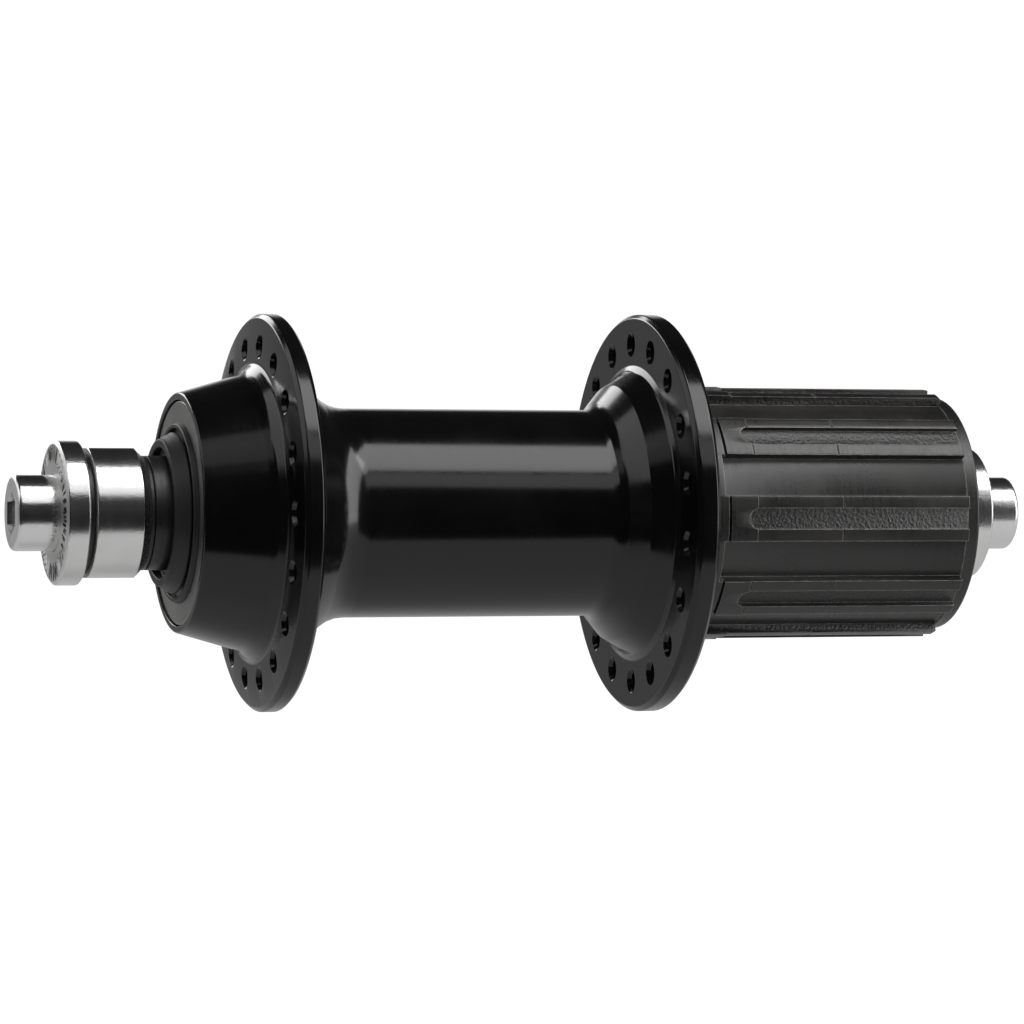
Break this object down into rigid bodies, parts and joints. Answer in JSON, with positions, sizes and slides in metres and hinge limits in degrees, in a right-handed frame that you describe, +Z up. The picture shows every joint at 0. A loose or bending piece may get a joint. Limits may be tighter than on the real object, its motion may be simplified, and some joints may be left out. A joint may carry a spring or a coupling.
{
  "type": "rear bicycle hub",
  "caption": "Rear bicycle hub with two spoke flanges, cup-and-cone bearings, a hollow axle and a splined ratcheting freehub body.",
  "frame": {"origin": "middle of the axle, halfway between the outer faces of the two locknuts", "axes": "+X is the riding direction, +Y runs along the axle to the left (non-drive) end, +Z is up"},
  "size_m": [0.054, 0.141, 0.054],
  "materials": {
    "axle_steel": "smooth ground steel",
    "plated_steel": "bright plated steel, turned",
    "dark_steel": "blackened steel",
    "bearing_steel": "ground and polished",
    "hard_steel": "hardened steel",
    "black_anodised": "gloss black anodised aluminium",
    "freehub_coating": "dark satin coated steel, scuffed",
    "cap_steel": "satin pressed steel",
    "seal_rubber": "moulded black rubber"
  },
  "bodies": {
    "axle_group": {"axle": "axle_steel", "left_grip_washer": "plated_steel", "left_gasket_ring": "dark_steel", "left_locknut": "plated_steel", "left_lock_washer": "dark_steel", "left_cone": "dark_steel", "left_dust_seal": "seal_rubber", "right_cone": "dark_steel", "right_dust_seal": "seal_rubber", "right_lock_washer": "plated_steel", "right_locknut": "plated_steel"},
    "shell_group": {"hub_shell": "black_anodised", "left_dust_cap": "cap_steel", "left_bearing_cup": "hard_steel", "freehub_core": "hard_steel", "freehub_bolt": "plated_steel", "freehub_shim": "plated_steel", "pawl_springs": "hard_steel", "driver_race_ring": "hard_steel", "race_shims": "plated_steel", "driver_seal": "seal_rubber", "right_dust_cap": "cap_steel"},
    "driver": {"freehub_body": "freehub_coating"},
    "pawl_a": {"pawl_a": "hard_steel"},
    "pawl_b": {"pawl_b": "hard_steel"},
    "left_ball_ring": {"left_bearing_balls": "bearing_steel"},
    "right_ball_ring": {"right_bearing_balls": "bearing_steel"},
    "inboard_ball_row": {"driver_balls_inboard": "bearing_steel"},
    "outboard_ball_row": {"driver_balls_outboard": "bearing_steel"}
  },
  "joints": [
    {"name": "hub_spin", "type": "hinge", "parent": "axle_group", "child": "shell_group", "pos_m": [0, 0, 0], "axis": [0, 1, 0], "continuous": true},
    {"name": "left_balls_orbit", "type": "hinge", "parent": "axle_group", "child": "left_ball_ring", "pos_m": [0, 0.043, 0], "axis": [0, 1, 0], "continuous": true},
    {"name": "right_balls_orbit", "type": "hinge", "parent": "axle_group", "child": "right_ball_ring", "pos_m": [0, -0.0552, 0], "axis": [0, 1, 0], "continuous": true},
    {"name": "freewheel_spin", "type": "hinge", "parent": "shell_group", "child": "driver", "pos_m": [0, -0.04, 0], "axis": [0, 1, 0], "continuous": true},
    {"name": "inboard_balls_orbit", "type": "hinge", "parent": "shell_group", "child": "inboard_ball_row", "pos_m": [0, -0.0216, 0], "axis": [0, 1, 0], "continuous": true},
    {"name": "outboard_balls_orbit", "type": "hinge", "parent": "shell_group", "child": "outboard_ball_row", "pos_m": [0, -0.05, 0], "axis": [0, 1, 0], "continuous": true},
    {"name": "pawl_a_swing", "type": "hinge", "parent": "shell_group", "child": "pawl_a", "pos_m": [0.0106, -0.031, 0], "axis": [0, 1, 0], "range_deg": [0, 14]},
    {"name": "pawl_b_swing", "type": "hinge", "parent": "shell_group", "child": "pawl_b", "pos_m": [-0.0106, -0.031, 0], "axis": [0, 1, 0], "range_deg": [0, 14]}
  ],
  "couplings": [
    {"joint": "left_balls_orbit", "follows": "hub_spin", "ratio": 0.618},
    {"joint": "right_balls_orbit", "follows": "hub_spin", "ratio": 0.618},
    {"joint": "inboard_balls_orbit", "follows": "freewheel_spin", "ratio": 0.542},
    {"joint": "outboard_balls_orbit", "follows": "freewheel_spin", "ratio": 0.543}
  ]
}
